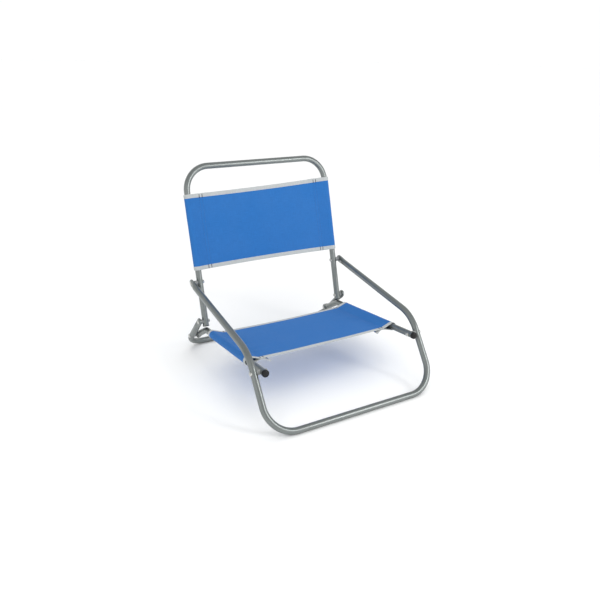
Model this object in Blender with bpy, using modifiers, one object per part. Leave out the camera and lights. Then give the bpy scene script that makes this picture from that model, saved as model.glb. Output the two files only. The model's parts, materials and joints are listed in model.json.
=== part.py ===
"""Low folding camp chair: bent steel tubes, two fabric slings and eight through-bolted pivots.

Blender 4.5, metres, +Z up. The sitter faces -Y. The origin is on the ground, under the middle of the
chair's bounding box. A side-view point is Vector((distance back from the front bar's axis, height)).
"""

import math

import bmesh
import bpy
from mathutils import Matrix, Vector

# Tube stock
TUBE_DIAMETER = 0.019
TUBE_WALL = 0.0012
TUBE_SIDES = 12

# Overall sizes, outside of the tubes
FRAME_WIDTH = 0.559
OVERALL_HEIGHT = 0.600

# Gaps between the planes that the tubes swing in
ARM_TO_BACK_GAP = 0.0065
REAR_LEG_TO_RAIL_GAP = 0.0008
FIT_GAP = 0.0003

# Front frame: ground bar, legs and arms in one tube
LEG_ANGLE = math.radians(55.25)
LEG_LENGTH = 0.2253
ARM_ANGLE = math.radians(8.57)
ARM_REACH = 0.4027
GROUND_CORNER_RADIUS = 0.082
ARM_BEND_RADIUS = 0.105

# Back frame
BACK_LEAN = math.radians(15.61)
HINGE_DROP = 0.1228
BACK_CORNER_RADIUS = 0.075

# Seat rails
SEAT_PIVOT_UP_LEG = 0.171
RAIL_BEND_RADIUS = 0.045

# Rear leg frame
REAR_LEG_ANGLE = math.radians(46.1)
TAIL_PIVOT_DOWN_LEG = 0.1056
REAR_CORNER_RADIUS = 0.062

# Pressed tube ends and the ends past their pivots
PRESSED_THICKNESS = 0.007
PRESSED_WIDTH = 0.0245
PRESSED_MARGIN = 0.002
PRESS_BLEND = 0.022
TIP_PAST_PIVOT = 0.0125
OPEN_END_PAST_PIVOT = 0.014

# Pivot hardware
BOLT_DIAMETER = 0.006
HEAD_DIAMETER = 0.0125
HEAD_HEIGHT = 0.0026
NUT_DIAMETER = 0.0115
NUT_HEIGHT = 0.0048
NUT_END_WALL = 0.0012
SPACER_DIAMETER = 0.0135
HARDWARE_SIDES = 12

# Plastic end plugs
BACK_PLUG_CAP = 0.0025
RAIL_PLUG_CAP = 0.009
PLUG_PROUD = 0.0006
PLUG_RIM = 0.0035
PLUG_SPIGOT = 0.0075

# Fabric slings: places are measured along the tube that carries them
FABRIC = 0.0012
BINDING_FABRIC = 0.0019
BINDING_WIDTH = 0.0125
SEAM_FROM_EDGE = 0.046
FLAP = 0.028
SLEEVE_LOOSENESS = 0.0005
SEAT_START = 0.0815
SEAT_LENGTH = 0.269
BACK_SLING_START = 0.160
BACK_SLING_LENGTH = 0.240

TUBE_RADIUS = TUBE_DIAMETER / 2
# Tubes are polygons with a flat side down, so the bars stand on a flat of this apothem.
TUBE_APOTHEM = TUBE_RADIUS * math.cos(math.pi / TUBE_SIDES)
PRESSED_LENGTH = TIP_PAST_PIVOT + SPACER_DIAMETER / 2 + PRESSED_MARGIN
HOLE_RADIUS = (BOLT_DIAMETER / 2 + FIT_GAP) / math.cos(math.pi / HARDWARE_SIDES)
FRONT_X = FRAME_WIDTH / 2 - TUBE_RADIUS
BACK_X = FRONT_X - TUBE_DIAMETER - ARM_TO_BACK_GAP
REAR_X = BACK_X + TUBE_DIAMETER + REAR_LEG_TO_RAIL_GAP


def heading(angle):
    """Side-view unit vector, angle up from straight back."""
    return Vector((math.cos(angle), math.sin(angle)))


def tangent_from(point, centre, radius):
    """Point where the line from a side-view point passes just under a circle."""
    reach = centre - point
    length = math.sqrt(reach.length_squared - radius**2)
    angle = math.atan2(reach.y, reach.x) - math.asin(radius / reach.length)
    return point + heading(angle) * length


# Side view of the chair standing open
LEG_DIRECTION = heading(LEG_ANGLE)
ARM_DIRECTION = heading(ARM_ANGLE)
BACK_DIRECTION = heading(math.pi / 2 - BACK_LEAN)
REAR_LEG_DIRECTION = heading(-REAR_LEG_ANGLE)
FRONT_BAR = Vector((0, TUBE_APOTHEM))
ARM_BEND = FRONT_BAR + LEG_DIRECTION * LEG_LENGTH
ARM_PIVOT = ARM_BEND + ARM_DIRECTION * ARM_REACH
SEAT_PIVOT = FRONT_BAR + LEG_DIRECTION * SEAT_PIVOT_UP_LEG
HINGE_PIVOT = ARM_PIVOT - BACK_DIRECTION * HINGE_DROP
BACK_END = HINGE_PIVOT - BACK_DIRECTION * OPEN_END_PAST_PIVOT
BACK_TOP_HEIGHT = OVERALL_HEIGHT - TUBE_RADIUS
BACK_TOP = BACK_END + BACK_DIRECTION * ((BACK_TOP_HEIGHT - BACK_END.y) / BACK_DIRECTION.y)
# The plug in the back tube's lower end lands on the seat rail and stops the chair from opening further.
PLUG_FACE = BACK_END - BACK_DIRECTION * BACK_PLUG_CAP
REST_HEIGHT = TUBE_RADIUS + (TUBE_RADIUS + PLUG_PROUD) * math.sin(BACK_LEAN) + FIT_GAP
RAIL_BEND = tangent_from(SEAT_PIVOT, PLUG_FACE, REST_HEIGHT)
RAIL_DIRECTION = (RAIL_BEND - SEAT_PIVOT).normalized()
RAIL_FRONT = SEAT_PIVOT - RAIL_DIRECTION * OPEN_END_PAST_PIVOT
REAR_BAR = HINGE_PIVOT + REAR_LEG_DIRECTION * ((HINGE_PIVOT.y - TUBE_APOTHEM) / math.sin(REAR_LEG_ANGLE))
TAIL_PIVOT = HINGE_PIVOT + REAR_LEG_DIRECTION * TAIL_PIVOT_DOWN_LEG
TAIL_DIRECTION = (TAIL_PIVOT - RAIL_BEND).normalized()
# The bounding box runs from the front bar to the top bar or the rear ground bar.
Y_SHIFT = TUBE_APOTHEM / 2 - (max(BACK_TOP.x + TUBE_RADIUS, REAR_BAR.x + TUBE_APOTHEM)) / 2

MODEL = bpy.data.collections.new("folding_camp_chair")
CUTTERS = bpy.data.collections.new("cutters")


def at(x, side_point):
    """World point of a side-view point in the plane x."""
    return Vector((x, side_point.x + Y_SHIFT, side_point.y))


def along(side_direction):
    """World direction of a side-view direction."""
    return Vector((0, side_direction.x, side_direction.y))


def make_material(name, colour, roughness, metallic):
    material = bpy.data.materials.new(name)
    material.use_nodes = True
    shader = material.node_tree.nodes["Principled BSDF"]
    shader.inputs["Base Color"].default_value = (*colour, 1)
    shader.inputs["Roughness"].default_value = roughness
    shader.inputs["Metallic"].default_value = metallic
    return material


def make_pivot(name, side_point):
    """Empty on a joint's axis, which carries the pieces that turn about it."""
    empty = bpy.data.objects.new(name, None)
    empty.location = at(0, side_point)
    empty.empty_display_size = 0.03
    MODEL.objects.link(empty)
    return empty


def add_piece(name, mesh, material, pivot=None):
    """Object from a mesh in world coordinates, with its origin on its joint's axis."""
    piece = bpy.data.objects.new(name, mesh)
    if pivot:
        mesh.transform(Matrix.Translation(-pivot.location))
        piece.parent = pivot
    mesh.materials.append(material)
    MODEL.objects.link(piece)
    return piece


def rounded_path(corners, radii, steps):
    """Polyline through corners, with each inner corner replaced by an arc of its own radius."""
    points = [corners[0]]
    for before, corner, after, radius in zip(corners, corners[1:], corners[2:], radii):
        inward = (before - corner).normalized()
        outward = (after - corner).normalized()
        half_angle = inward.angle(outward) / 2
        start = corner + inward * radius / math.tan(half_angle)
        centre = corner + (inward + outward).normalized() * radius / math.sin(half_angle)
        axis = inward.cross(outward)
        turn = -(math.pi - 2 * half_angle)
        for step in range(steps + 1):
            spin = Matrix.Rotation(turn * step / steps, 3, axis)
            points.append(centre + spin @ (start - centre))
    points.append(corners[-1])
    return points


def tip_stations(tip, inward):
    """Points near a pressed tip, close together where its outline is round."""
    round_length = PRESSED_WIDTH / 2
    stations = [round_length * (1 - math.cos(math.radians(angle))) for angle in (25, 45, 65, 90)]
    stations += [PRESSED_LENGTH, PRESSED_LENGTH + PRESS_BLEND / 2, PRESSED_LENGTH + PRESS_BLEND]
    return [tip + inward * station for station in stations]


def tube_mesh(name, points):
    """Mesh of a capped tube along a polyline, from a bevelled curve."""
    curve = bpy.data.curves.new(name, "CURVE")
    curve.dimensions = "3D"
    curve.twist_mode = "Z_UP"
    curve.bevel_depth = TUBE_RADIUS
    curve.bevel_resolution = (TUBE_SIDES - 4) // 2
    curve.use_fill_caps = True
    spline = curve.splines.new("POLY")
    spline.points.add(len(points) - 1)
    for spline_point, point in zip(spline.points, points):
        spline_point.co = (*point, 1)
        spline_point.tilt = math.pi / TUBE_SIDES
    guide = bpy.data.objects.new(name + "_guide", curve)
    CUTTERS.objects.link(guide)
    bpy.context.view_layer.update()
    evaluated = guide.evaluated_get(bpy.context.evaluated_depsgraph_get())
    mesh = bpy.data.meshes.new_from_object(evaluated)
    bpy.data.objects.remove(guide)
    shape = bmesh.new()
    shape.from_mesh(mesh)
    bmesh.ops.remove_doubles(shape, verts=shape.verts, dist=1e-6)
    bmesh.ops.recalc_face_normals(shape, faces=shape.faces)
    shape.to_mesh(mesh)
    shape.free()
    mesh.materials.clear()
    return mesh


def press_flat(mesh, tip, inward):
    """Presses a tube's end flat across X and rounds its outline, as a press tool does."""
    lateral = inward.cross(Vector((1, 0, 0)))
    round_length = PRESSED_WIDTH / 2
    for vertex in mesh.vertices:
        offset = vertex.co - tip
        station = offset.dot(inward)
        if abs(offset.x) > TUBE_DIAMETER or station > PRESSED_LENGTH + PRESS_BLEND:
            continue
        blend = min(1, max(0, (PRESSED_LENGTH + PRESS_BLEND - station) / PRESS_BLEND))
        blend = blend * blend * (3 - 2 * blend)
        thin = 1 + (PRESSED_THICKNESS / TUBE_DIAMETER - 1) * blend
        wide = 1 + (PRESSED_WIDTH / TUBE_DIAMETER - 1) * blend
        if station < round_length:
            wide *= max(0.42, math.sqrt(max(0, 1 - (1 - station / round_length) ** 2)))
        sideways = offset.dot(lateral)
        vertex.co = tip + inward * station + lateral * sideways * wide
        vertex.co.x = tip.x + offset.x * thin


def open_end(mesh, end, inward):
    """Takes away the cap at one end of a tube."""
    shape = bmesh.new()
    shape.from_mesh(mesh)
    near = [face for face in shape.faces if (face.calc_center_median() - end).length < TUBE_RADIUS]
    caps = [face for face in near if abs(face.normal.dot(inward)) > 0.9]
    bmesh.ops.delete(shape, geom=caps, context="FACES")
    shape.to_mesh(mesh)
    shape.free()


def cut_holes(piece, cutters):
    for cutter in cutters:
        hole = piece.modifiers.new(cutter.name, "BOOLEAN")
        hole.operation = "DIFFERENCE"
        hole.object = cutter


def finish_tube(name, mesh, material, pivot, cutters):
    """Hollow tube piece with its bolt holes."""
    mesh.shade_smooth()
    piece = add_piece(name, mesh, material, pivot)
    wall = piece.modifiers.new("wall", "SOLIDIFY")
    wall.thickness = TUBE_WALL
    wall.offset = -1
    wall.use_even_offset = True
    cut_holes(piece, cutters)
    return piece


def add_hole_cutter(name, side_point):
    """Drill that runs across the whole chair at a pivot."""
    bpy.ops.mesh.primitive_cylinder_add(
        vertices=HARDWARE_SIDES,
        radius=HOLE_RADIUS,
        depth=FRAME_WIDTH,
        location=at(0, side_point),
        rotation=(0, math.pi / 2, 0),
    )
    cutter = bpy.context.object
    cutter.name = name
    cutter.hide_render = True
    cutter.display_type = "WIRE"
    for collection in cutter.users_collection:
        collection.objects.unlink(cutter)
    CUTTERS.objects.link(cutter)
    return cutter


def mirrored(points):
    """The points' mirror images across X, in reverse order."""
    return [Vector((-point.x, point.y, point.z)) for point in reversed(points)]


def make_leg_arm_frame(material, cutters):
    arm_tip = ARM_PIVOT + ARM_DIRECTION * TIP_PAST_PIVOT
    inward = along(-ARM_DIRECTION)
    left = [at(-FRONT_X, point) for point in (arm_tip, ARM_BEND, FRONT_BAR)]
    radii = (ARM_BEND_RADIUS, GROUND_CORNER_RADIUS, GROUND_CORNER_RADIUS, ARM_BEND_RADIUS)
    path = rounded_path(left + mirrored(left), radii, 8)
    stations = tip_stations(left[0], inward)
    mesh = tube_mesh("leg_arm_frame", path[:1] + stations + path[1:-1] + mirrored(stations) + path[-1:])
    for side in (-1, 1):
        press_flat(mesh, at(side * FRONT_X, arm_tip), inward)
    return finish_tube("leg_arm_frame", mesh, material, None, cutters)


def make_back_frame(material, pivot, cutters):
    left = [at(-BACK_X, point) for point in (BACK_END, BACK_TOP)]
    mesh = tube_mesh("back_frame", rounded_path(left + mirrored(left), (BACK_CORNER_RADIUS,) * 2, 8))
    for side in (-1, 1):
        open_end(mesh, at(side * BACK_X, BACK_END), along(BACK_DIRECTION))
    return finish_tube("back_frame", mesh, material, pivot, cutters)


def make_rear_leg_frame(material, pivot, cutters):
    leg_tip = HINGE_PIVOT - REAR_LEG_DIRECTION * TIP_PAST_PIVOT
    inward = along(REAR_LEG_DIRECTION)
    left = [at(-REAR_X, point) for point in (leg_tip, REAR_BAR)]
    path = rounded_path(left + mirrored(left), (REAR_CORNER_RADIUS,) * 2, 8)
    stations = tip_stations(left[0], inward)
    mesh = tube_mesh("rear_leg_frame", path[:1] + stations + path[1:-1] + mirrored(stations) + path[-1:])
    for side in (-1, 1):
        press_flat(mesh, at(side * REAR_X, leg_tip), inward)
    return finish_tube("rear_leg_frame", mesh, material, pivot, cutters)


def make_seat_rail(side_name, side, material, pivot, cutters):
    tail_tip = TAIL_PIVOT + TAIL_DIRECTION * TIP_PAST_PIVOT
    inward = along(-TAIL_DIRECTION)
    corners = [at(side * BACK_X, point) for point in (RAIL_FRONT, RAIL_BEND, tail_tip)]
    path = rounded_path(corners, (RAIL_BEND_RADIUS,), 4)
    stations = tip_stations(corners[-1], inward)
    name = "seat_rail_" + side_name
    mesh = tube_mesh(name, path[:-1] + stations[::-1] + path[-1:])
    press_flat(mesh, corners[-1], inward)
    open_end(mesh, corners[0], along(RAIL_DIRECTION))
    return finish_tube(name, mesh, material, pivot, cutters)


def turned_piece(name, profile, closed, material, place, outward, pivot):
    """Turned piece: the profile is (radius, height) down the outer side, turned about outward."""
    mesh = bpy.data.meshes.new(name)
    edges = [(index, index + 1) for index in range(len(profile) - 1)]
    if closed:
        edges.append((len(profile) - 1, 0))
    mesh.from_pydata([(radius, 0, height) for radius, height in profile], edges, [])
    mesh.materials.append(material)
    piece = bpy.data.objects.new(name, mesh)
    piece.location = place
    piece.rotation_euler = outward.to_track_quat("Z", "Y").to_euler()
    if pivot:
        piece.parent = pivot
        piece.location = place - pivot.location
    MODEL.objects.link(piece)
    turn = piece.modifiers.new("turn", "SCREW")
    turn.axis = "Z"
    turn.steps = HARDWARE_SIDES
    turn.render_steps = HARDWARE_SIDES
    turn.use_merge_vertices = True
    turn.merge_threshold = 1e-5
    return piece


def make_bolt(name, side, side_point, outer_x, inner_x, material, pivot):
    """Domed bolt from the outer face of one tube through to its cap nut on the inner face of the other."""
    shank_length = outer_x - inner_x + FIT_GAP * 2 + NUT_HEIGHT - NUT_END_WALL - FIT_GAP
    radius = BOLT_DIAMETER / 2
    head = HEAD_DIAMETER / 2
    profile = [
        (0, HEAD_HEIGHT),
        (head * 0.45, HEAD_HEIGHT * 0.92),
        (head * 0.8, HEAD_HEIGHT * 0.62),
        (head, 0),
        (radius, 0),
        (radius, -shank_length),
        (0, -shank_length),
    ]
    place = at(side * (outer_x + FIT_GAP), side_point)
    turned_piece(name, profile, False, material, place, Vector((side, 0, 0)), pivot)


def make_nut(name, side, side_point, inner_x, material, pivot):
    radius = NUT_DIAMETER / 2
    profile = [
        (0, NUT_HEIGHT),
        (radius * 0.5, NUT_HEIGHT * 0.94),
        (radius * 0.86, NUT_HEIGHT * 0.72),
        (radius, NUT_HEIGHT * 0.5),
        (radius, 0),
        (HOLE_RADIUS, 0),
        (HOLE_RADIUS, NUT_HEIGHT - NUT_END_WALL),
        (0, NUT_HEIGHT - NUT_END_WALL),
    ]
    place = at(side * (inner_x - FIT_GAP), side_point)
    turned_piece(name, profile, False, material, place, Vector((-side, 0, 0)), pivot)


def make_spacer(name, side, side_point, low_x, high_x, material, pivot):
    """Ring on the bolt that keeps two tubes apart."""
    length = high_x - low_x - 2 * FIT_GAP
    outer = SPACER_DIAMETER / 2
    profile = [(outer, length), (outer, 0), (HOLE_RADIUS, 0), (HOLE_RADIUS, length)]
    place = at(side * (low_x + FIT_GAP), side_point)
    turned_piece(name, profile, True, material, place, Vector((side, 0, 0)), pivot)


def make_plug(name, place, outward, cap_length, material, pivot):
    """Cap over an open tube end, with a spigot in its bore."""
    spigot = (TUBE_RADIUS - TUBE_WALL) * math.cos(math.pi / TUBE_SIDES) - FIT_GAP
    cap = TUBE_RADIUS + PLUG_PROUD
    rim = min(PLUG_RIM, cap_length * 0.4)
    profile = [
        (0, cap_length),
        (cap - rim, cap_length),
        (cap - rim * 0.3, cap_length - rim * 0.3),
        (cap, cap_length - rim),
        (cap, FIT_GAP),
        (spigot, FIT_GAP),
        (spigot, -PLUG_SPIGOT),
        (0, -PLUG_SPIGOT),
    ]
    turned_piece(name, profile, False, material, place, outward, pivot)


def sleeve_section():
    """Cross-section of a sling from its middle to the end of its right flap, as (x, height) points.

    The sheet runs level to the seam, over the tube, back under it to the seam and on as a flap.
    """
    sleeve_radius = TUBE_RADIUS + FIT_GAP + SLEEVE_LOOSENESS + BINDING_FABRIC / 2
    seam_x = BACK_X + sleeve_radius - SEAM_FROM_EDGE
    flap_drop = BINDING_FABRIC + FIT_GAP * 2
    run = BACK_X - seam_x
    upper = math.pi - math.acos(sleeve_radius / run)
    slant = math.hypot(run, flap_drop)
    lower = math.pi + math.acos(sleeve_radius / slant) - math.atan2(flap_drop, run)
    section = [(0, 0), (seam_x, 0)]
    steps = 10
    for step in range(steps + 1):
        angle = upper + (lower - 2 * math.pi - upper) * step / steps
        section.append((BACK_X + sleeve_radius * math.cos(angle), sleeve_radius * math.sin(angle)))
    section += [(seam_x, -flap_drop), (seam_x - FLAP, -flap_drop)]
    return section


def make_sling_strip(name, start, direction, normal, length, thickness, material, pivot):
    """A length of sling: the sleeve section drawn along the two tubes."""
    right = sleeve_section()
    left = [(-x, height) for x, height in reversed(right[1:])]
    section = left + right
    vertices = []
    for distance in (0, length):
        for x, height in section:
            vertices.append(at(x, start + direction * distance) + along(normal) * height)
    count = len(section)
    faces = [(i, i + 1, count + i + 1, count + i) for i in range(count - 1)]
    mesh = bpy.data.meshes.new(name)
    mesh.from_pydata(vertices, [], faces)
    piece = add_piece(name, mesh, material, pivot)
    cloth = piece.modifiers.new("cloth", "SOLIDIFY")
    cloth.thickness = thickness
    cloth.offset = 0
    cloth.use_even_offset = True
    return piece


def make_sling(name, ends, origin, direction, normal, start, length, materials, pivot):
    """A sling and the binding tape along its two hems. The length includes the tapes."""
    tape = (BINDING_WIDTH, BINDING_FABRIC, materials["binding"])
    cloth = (length - 2 * (BINDING_WIDTH + FIT_GAP), FABRIC, materials["fabric"])
    strips = (
        (name + "_binding_" + ends[0], 0, *tape),
        (name, BINDING_WIDTH + FIT_GAP, *cloth),
        (name + "_binding_" + ends[1], length - BINDING_WIDTH, *tape),
    )
    for strip_name, offset, strip_length, thickness, material in strips:
        place = origin + direction * (start + offset)
        make_sling_strip(strip_name, place, direction, normal, strip_length, thickness, material, pivot)


def make_hardware(side_name, side, materials, pivots):
    """The four pivots of one side: a bolt from outside, a spacer between the tubes, a cap nut inside."""
    half_pressed = PRESSED_THICKNESS / 2
    rows = (
        ("arm", ARM_PIVOT, FRONT_X, half_pressed, BACK_X, TUBE_RADIUS, None),
        ("hinge", HINGE_PIVOT, REAR_X, half_pressed, BACK_X, TUBE_RADIUS, pivots["back"]),
        ("seat", SEAT_PIVOT, FRONT_X, TUBE_RADIUS, BACK_X, TUBE_RADIUS, None),
        ("tail", TAIL_PIVOT, REAR_X, TUBE_RADIUS, BACK_X, half_pressed, pivots["rear_leg"]),
    )
    for name, point, outer_axis, outer_half, inner_axis, inner_half, pivot in rows:
        suffix = name + "_" + side_name
        outer_face = outer_axis + outer_half
        inner_face = inner_axis - inner_half
        make_bolt("bolt_" + suffix, side, point, outer_face, inner_face, materials["hardware"], pivot)
        make_nut("nut_" + suffix, side, point, inner_face, materials["hardware"], pivot)
        spacer = (inner_axis + inner_half, outer_axis - outer_half)
        make_spacer("spacer_" + suffix, side, point, *spacer, materials["nylon"], pivot)


def make_chair():
    for thing in list(bpy.data.objects):
        bpy.data.objects.remove(thing)
    bpy.context.scene.collection.children.link(MODEL)
    bpy.context.scene.collection.children.link(CUTTERS)
    materials = {
        "steel": make_material("painted_steel_tube", (0.26, 0.27, 0.27), 0.38, 0.55),
        "fabric": make_material("sling_fabric", (0.037, 0.19, 0.55), 0.85, 0),
        "binding": make_material("binding_tape", (0.62, 0.64, 0.67), 0.8, 0),
        "plug": make_material("black_plastic", (0.012, 0.012, 0.013), 0.45, 0),
        "hardware": make_material("zinc_hardware", (0.55, 0.55, 0.54), 0.3, 1),
        "nylon": make_material("nylon_spacer", (0.05, 0.05, 0.055), 0.5, 0),
    }
    pivots = {
        "back": make_pivot("back_pivot", ARM_PIVOT),
        "rear_leg": make_pivot("rear_leg_pivot", HINGE_PIVOT),
        "seat": make_pivot("seat_pivot", TAIL_PIVOT),
    }
    drills = {
        "arm": add_hole_cutter("arm_drill", ARM_PIVOT),
        "hinge": add_hole_cutter("hinge_drill", HINGE_PIVOT),
        "seat": add_hole_cutter("seat_drill", SEAT_PIVOT),
        "tail": add_hole_cutter("tail_drill", TAIL_PIVOT),
    }
    steel = materials["steel"]
    make_leg_arm_frame(steel, (drills["arm"], drills["seat"]))
    make_back_frame(steel, pivots["back"], (drills["arm"], drills["hinge"]))
    make_rear_leg_frame(steel, pivots["rear_leg"], (drills["hinge"], drills["tail"]))
    for side_name, side in (("left", -1), ("right", 1)):
        make_seat_rail(side_name, side, steel, pivots["seat"], (drills["seat"], drills["tail"]))
        make_hardware(side_name, side, materials, pivots)
        rail_end = at(side * BACK_X, RAIL_FRONT)
        rail_plug = ("plug_rail_" + side_name, rail_end, along(-RAIL_DIRECTION), RAIL_PLUG_CAP)
        make_plug(*rail_plug, materials["plug"], pivots["seat"])
        back_end = at(side * BACK_X, BACK_END)
        back_plug = ("plug_back_" + side_name, back_end, along(-BACK_DIRECTION), BACK_PLUG_CAP)
        make_plug(*back_plug, materials["plug"], pivots["back"])
    seat_normal = Vector((-RAIL_DIRECTION.y, RAIL_DIRECTION.x))
    seat = ("seat_sling", ("front", "rear"), SEAT_PIVOT, RAIL_DIRECTION, seat_normal)
    make_sling(*seat, SEAT_START, SEAT_LENGTH, materials, pivots["seat"])
    back_normal = Vector((-BACK_DIRECTION.y, BACK_DIRECTION.x))
    back = ("back_sling", ("bottom", "top"), HINGE_PIVOT, BACK_DIRECTION, back_normal)
    make_sling(*back, BACK_SLING_START, BACK_SLING_LENGTH, materials, pivots["back"])


make_chair()
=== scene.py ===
"""Finished look of the low folding camp chair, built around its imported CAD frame.

Metres, +Z up, and the sitter faces -Y. A side-view point is Vector((y, z)).
"""

import json
import math

import bmesh
import bpy
from mathutils import Matrix, Vector, noise

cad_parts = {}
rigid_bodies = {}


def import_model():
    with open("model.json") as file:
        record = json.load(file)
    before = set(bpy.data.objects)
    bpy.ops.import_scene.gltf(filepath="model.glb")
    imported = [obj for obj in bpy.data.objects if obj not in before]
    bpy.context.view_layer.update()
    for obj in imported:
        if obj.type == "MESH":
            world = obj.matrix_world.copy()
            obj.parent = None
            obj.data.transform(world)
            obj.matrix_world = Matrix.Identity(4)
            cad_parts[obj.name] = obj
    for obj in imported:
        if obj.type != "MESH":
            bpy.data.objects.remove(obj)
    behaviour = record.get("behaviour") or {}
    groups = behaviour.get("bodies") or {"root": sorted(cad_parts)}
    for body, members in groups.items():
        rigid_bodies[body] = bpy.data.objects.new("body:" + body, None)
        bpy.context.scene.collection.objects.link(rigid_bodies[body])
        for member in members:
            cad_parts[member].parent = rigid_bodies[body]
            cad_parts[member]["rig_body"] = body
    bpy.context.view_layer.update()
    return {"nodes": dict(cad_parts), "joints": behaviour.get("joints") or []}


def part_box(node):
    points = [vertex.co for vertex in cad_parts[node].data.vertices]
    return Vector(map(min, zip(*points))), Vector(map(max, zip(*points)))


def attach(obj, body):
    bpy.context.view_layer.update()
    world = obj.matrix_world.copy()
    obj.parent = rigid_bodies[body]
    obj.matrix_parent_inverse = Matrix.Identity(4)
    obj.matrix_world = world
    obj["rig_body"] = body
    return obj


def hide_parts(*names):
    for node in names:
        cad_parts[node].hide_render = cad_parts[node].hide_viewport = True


# Tubes, as in the CAD model, where they have 12 sides
TUBE_RADIUS = 0.0095
TUBE_APOTHEM = TUBE_RADIUS * math.cos(math.radians(15))
OVERALL_HEIGHT = 0.600
ARM_ANGLE = math.radians(8.57)
RAIL_ANGLE = math.radians(-6.139)
TAIL_ANGLE = math.radians(-31.15)
GROUND_CORNER_RADIUS = 0.082
ARM_BEND_RADIUS = 0.105
BACK_CORNER_RADIUS = 0.075
REAR_CORNER_RADIUS = 0.062
RAIL_BEND_RADIUS = 0.045
OPEN_END_PAST_PIVOT = 0.014
TIP_PAST_PIVOT = 0.0125
TUBE_SIDES = 40
TUBE_SQUARENESS = 2
BEND_STEPS = 28

# Pressed tube ends
PRESSED_HALF_THICKNESS = 0.0035
PRESSED_HALF_WIDTH = 0.01225
PRESSED_LENGTH = 0.02125
PRESS_BLEND = 0.022
PRESSED_SQUARENESS = 3.2
TIP_STEP_DEGREES = 9
TIP_EDGE_SHARE = 0.55
TIP_EDGE_RISE = 2.2
FLAT_STEPS = 3
PRESS_BLEND_STEPS = 12

# Pivot hardware
FIT_GAP = 0.0003
SHANK_RADIUS = 0.003
HEAD_RADIUS = 0.00625
HEAD_HEIGHT = 0.0026
HEAD_EDGE = 0.0003
HEAD_STEP = 0.0001
SHANK_END_IN_NUT = 0.0015
NUT_HEIGHT = 0.0048
NUT_HALF_FLATS = 0.005
NUT_CORNER_RADIUS = 0.00575
NUT_CHAMFER = 0.0003
NUT_CORNERS_TOP = 0.0022
NUT_CAP_START = 0.0026
NUT_CAP_SHARE = 0.9
WASHER_RADIUS = 0.0066
WASHER_THICKNESS = 0.0006
WASHER_CHAMFER = 0.0002
SPACER_RADIUS = 0.00675
SPACER_CHAMFER = 0.0004
SADDLE_DEPTH = 0.0029
TURNED_SIDES = 48

# Plastic plugs
PLUG_PROUD = 0.0006
PLUG_SPIGOT = 0.0075
PLUG_LEDGE = 0.0001
RAIL_PLUG_CAP = 0.009
RAIL_PLUG_RIM_SHARE = 0.6
BACK_PLUG_CAP = 0.0025
BACK_PLUG_RIM_SHARE = 0.8

# Slings: places are measured along the tube that carries them
SLEEVE_RADIUS = 0.01125
SEAM_X = 0.20975
FLAP = 0.028
FLAP_DROP = 0.0025
SEAT_START = 0.0815
SEAT_LENGTH = 0.269
BACK_SLING_START = 0.160
BACK_SLING_LENGTH = 0.240
CLOTH_THICKNESS = 0.0009
BINDING_WIDTH = 0.0125
BINDING_HALF_THICKNESS = 0.00105
HEM_INSIDE_BINDING = 0.0035
CLOTH_ROW = 0.004
SHEET_STEPS = 44
SLEEVE_STEPS = 28
STRAIGHT_STEPS = 8
AXES_STEP = 0.0004

# How the cloth departs from its even shape, in metres, and over what distances
HEM_CURVE = 0.0022
PUCKER = 0.0016
PUCKER_START = 0.007
PUCKER_REACH = 0.03
SHEET_WAVE = 0.0009
SLEEVE_SLACK = 0.0007
FLAP_WAVER = 0.0012
FLAP_CURL_POWER = 1.15
HEM_REACH = 0.035

# Rows of stitches
SEAM_FROM_EDGE = 0.0012
SEAM_ROWS_APART = 0.0095
SEAM_MARGIN = 0.0015
SEAM_PITCH = 0.0038
SEAM_SLANT = 0.07
TACK_LIFT = BINDING_HALF_THICKNESS * 1.08
HEM_ROW_FROM_TAPE_EDGE = 0.0024
HEM_MARGIN = 0.002
HEM_PITCH = 0.0034
HEM_SLANT = 0.05
HEM_LIFT = BINDING_HALF_THICKNESS * 0.84

# Binding's outline: distance from its folded edge, and share of its half thickness
BINDING_OUTLINE = (
    (0.0, 0.15),
    (0.0003, 0.62),
    (0.0009, 0.95),
    (0.002, 1.08),
    (0.0055, 1.1),
    (0.0082, 1.0),
    (BINDING_WIDTH - HEM_ROW_FROM_TAPE_EDGE, 0.82),
    (0.0114, 0.95),
    (BINDING_WIDTH, 0.8),
)

# Stitches: length, width and height of each kind, and the shape that they share, as parts of these
SEAM_STITCH = (0.0032, 0.0012, 0.00045)
TACK_STITCH = (0.0038, 0.0030, 0.00075)
HEM_STITCH = (0.0025, 0.0007, 0.00032)
STITCH_SIDES = 6
STITCH_RINGS = ((-0.36, 0.72), (0.0, 1.0), (0.36, 0.72))
STITCH_ENDS_BELOW = 0.3

# Colours, linear
PAINT_DARK = (0.165, 0.182, 0.179, 1)
PAINT_LIGHT = (0.205, 0.221, 0.217, 1)
# Painted highlight: lighter tint laid on the ridges between the hammered dimples
PAINT_RIDGE_HIGHLIGHT = (0.28, 0.30, 0.295, 1)
PAINT_SCUFFS = (0.12, 0.118, 0.112, 1)
BLUE_CLOTH = ((0.016, 0.132, 0.405, 1), (0.022, 0.160, 0.485, 1))
GREY_TAPE = ((0.41, 0.43, 0.435, 1), (0.52, 0.54, 0.54, 1))
CLOTH_DUST = (0.55, 0.6, 0.66, 1)
BLACK_PLASTIC = ((0.005, 0.005, 0.006, 1), (0.011, 0.011, 0.012, 1))
GREY_NYLON = ((0.20, 0.21, 0.21, 1), (0.28, 0.29, 0.29, 1))
ZINC = ((0.50, 0.51, 0.50, 1), (0.66, 0.66, 0.63, 1))
BLUE_THREAD = ((0.010, 0.085, 0.275, 1), (0.016, 0.115, 0.355, 1))
NAVY_THREAD = ((0.002, 0.008, 0.030, 1), (0.005, 0.015, 0.055, 1))
GREY_THREAD = ((0.42, 0.45, 0.50, 1), (0.58, 0.60, 0.64, 1))
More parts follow.
